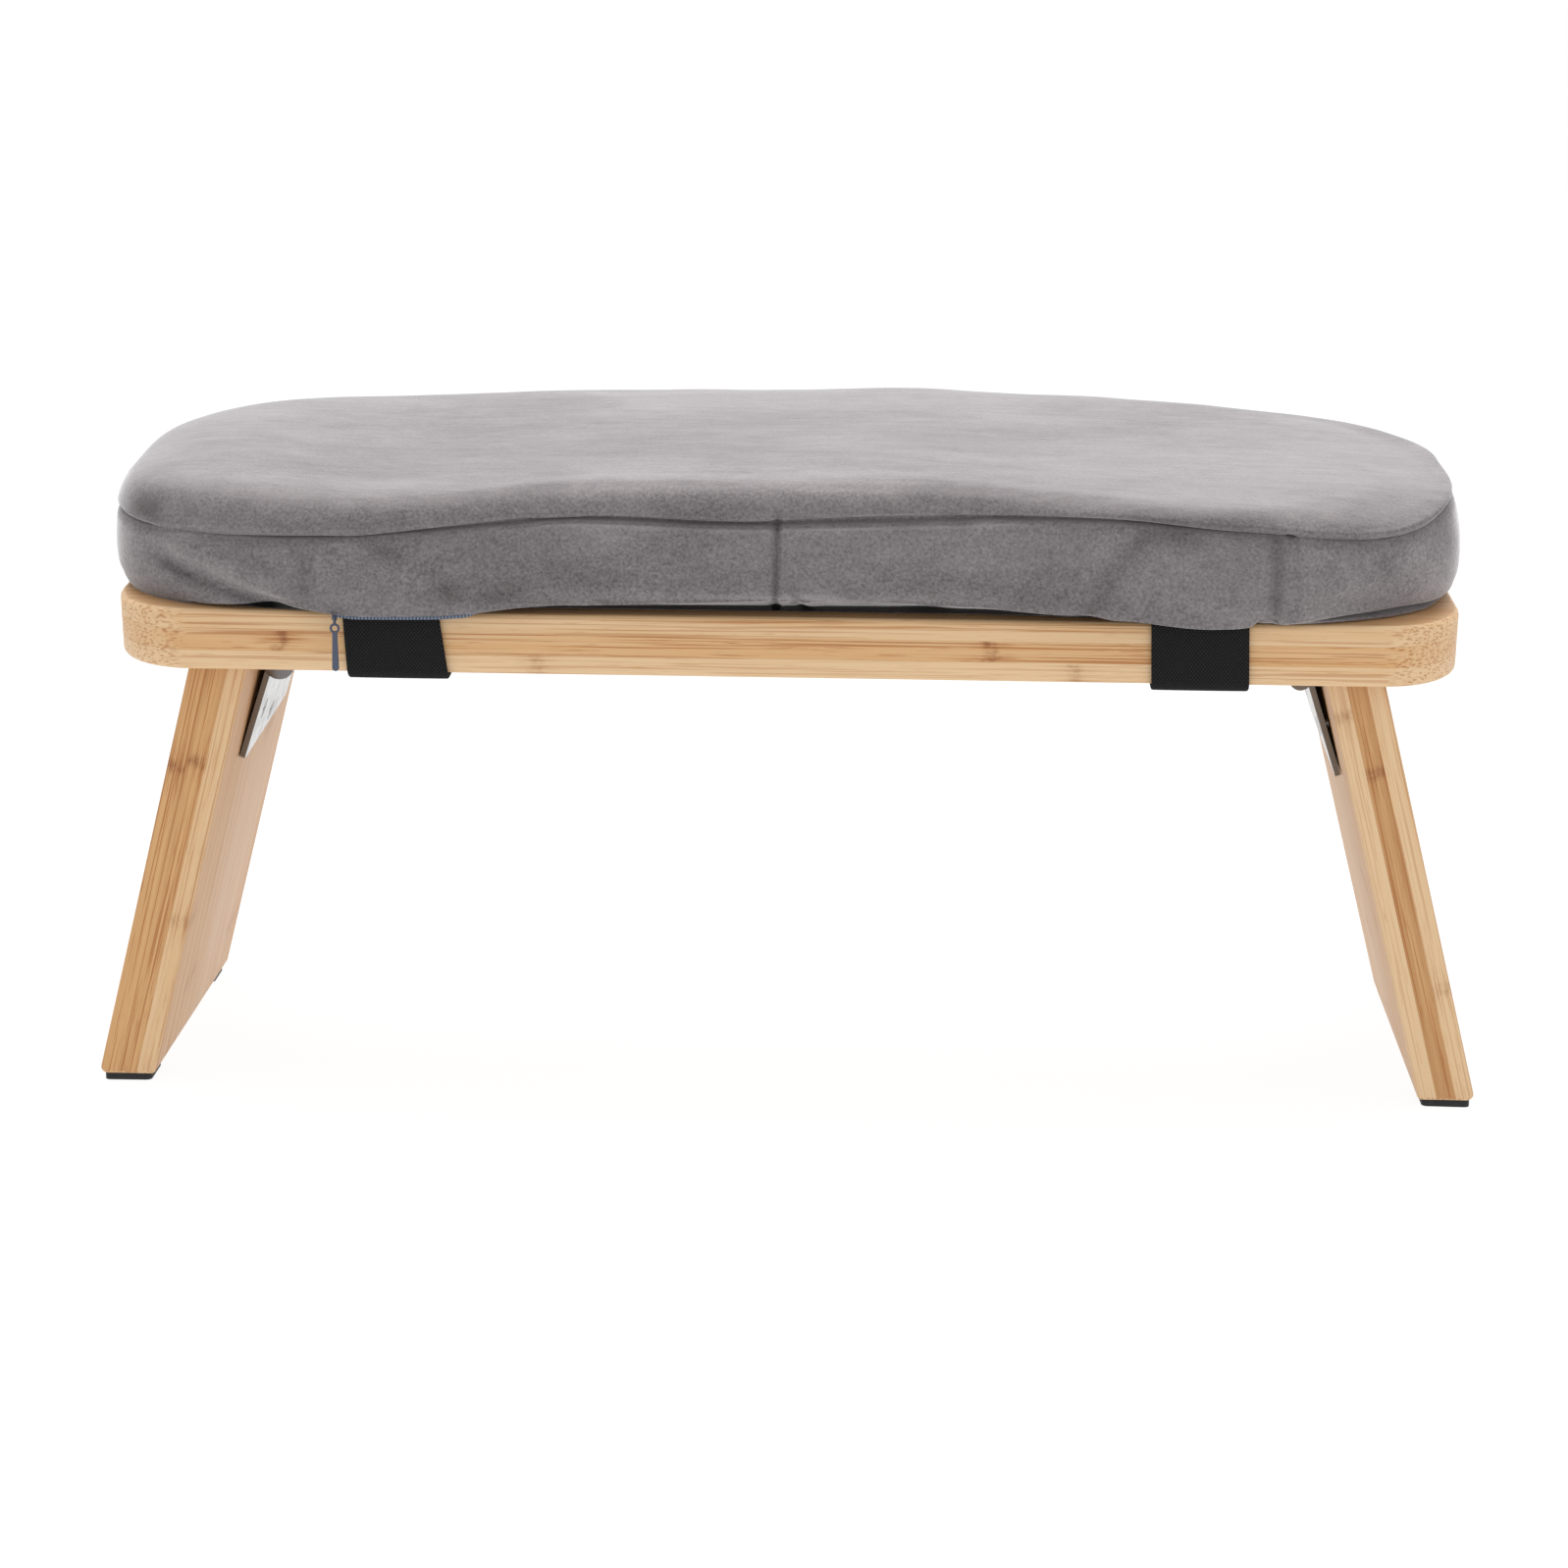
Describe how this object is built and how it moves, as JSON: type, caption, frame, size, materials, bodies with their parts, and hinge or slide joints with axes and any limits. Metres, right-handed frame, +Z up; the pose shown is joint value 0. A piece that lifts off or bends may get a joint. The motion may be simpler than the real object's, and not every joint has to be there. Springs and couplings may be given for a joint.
{
  "type": "folding meditation bench",
  "caption": "Low kneeling bench: forward-tilted bamboo seat, bean-shaped velvet cushion on elastic straps, splayed legs folding inward on butt hinges.",
  "frame": {"origin": "centre of the object's footprint (bounding box) at the floor, with the legs open", "axes": "+X along the bench, to the right as seen from the front, +Y from the low front edge to the raised back edge, +Z up"},
  "size_m": [0.4872, 0.19, 0.2308],
  "materials": {
    "bamboo": "clear satin over strip-laminated bamboo",
    "velvet": "grey short-pile velvet",
    "foam": "open-cell foam",
    "elastic": "black woven elastic",
    "zip_tape": "blue-grey zip",
    "zip_metal": "blue-grey painted zip metal",
    "rubber": "black rubber",
    "zinc": "bright zinc-plated steel"
  },
  "bodies": {
    "seat": {"seat_board": "bamboo", "cushion_cover": "velvet", "cushion_core": "foam", "zip_tape": "zip_tape", "zip_slider": "zip_metal", "left_strap": "elastic", "right_strap": "elastic", "left_seat_leaf": "zinc", "left_hinge_pin": "zinc", "left_seat_screw_front": "zinc", "left_seat_screw_middle": "zinc", "left_seat_screw_rear": "zinc", "right_seat_leaf": "zinc", "right_hinge_pin": "zinc", "right_seat_screw_front": "zinc", "right_seat_screw_middle": "zinc", "right_seat_screw_rear": "zinc"},
    "left_leg_assembly": {"left_leg": "bamboo", "left_front_pad": "rubber", "left_rear_pad": "rubber", "left_leg_leaf": "zinc", "left_leg_screw_front": "zinc", "left_leg_screw_middle": "zinc", "left_leg_screw_rear": "zinc"},
    "right_leg_assembly": {"right_leg": "bamboo", "right_front_pad": "rubber", "right_rear_pad": "rubber", "right_leg_leaf": "zinc", "right_leg_screw_front": "zinc", "right_leg_screw_middle": "zinc", "right_leg_screw_rear": "zinc"},
    "zip_pull_body": {"zip_pull": "zip_metal"}
  },
  "joints": [
    {"name": "left_leg_fold", "type": "hinge", "parent": "seat", "child": "left_leg_assembly", "pos_m": [-0.17624, 0.00061, 0.15101], "axis": [0, -0.9954, -0.0958], "range_deg": [0, 105]},
    {"name": "right_leg_fold", "type": "hinge", "parent": "seat", "child": "right_leg_assembly", "pos_m": [0.17624, 0.00061, 0.15101], "axis": [0, 0.9954, 0.0958], "range_deg": [0, 105]},
    {"name": "zip_pull_swing", "type": "hinge", "parent": "seat", "child": "zip_pull_body", "pos_m": [-0.1464, -0.09286, 0.17386], "axis": [-1, 0, 0], "range_deg": [-10, 80]}
  ]
}
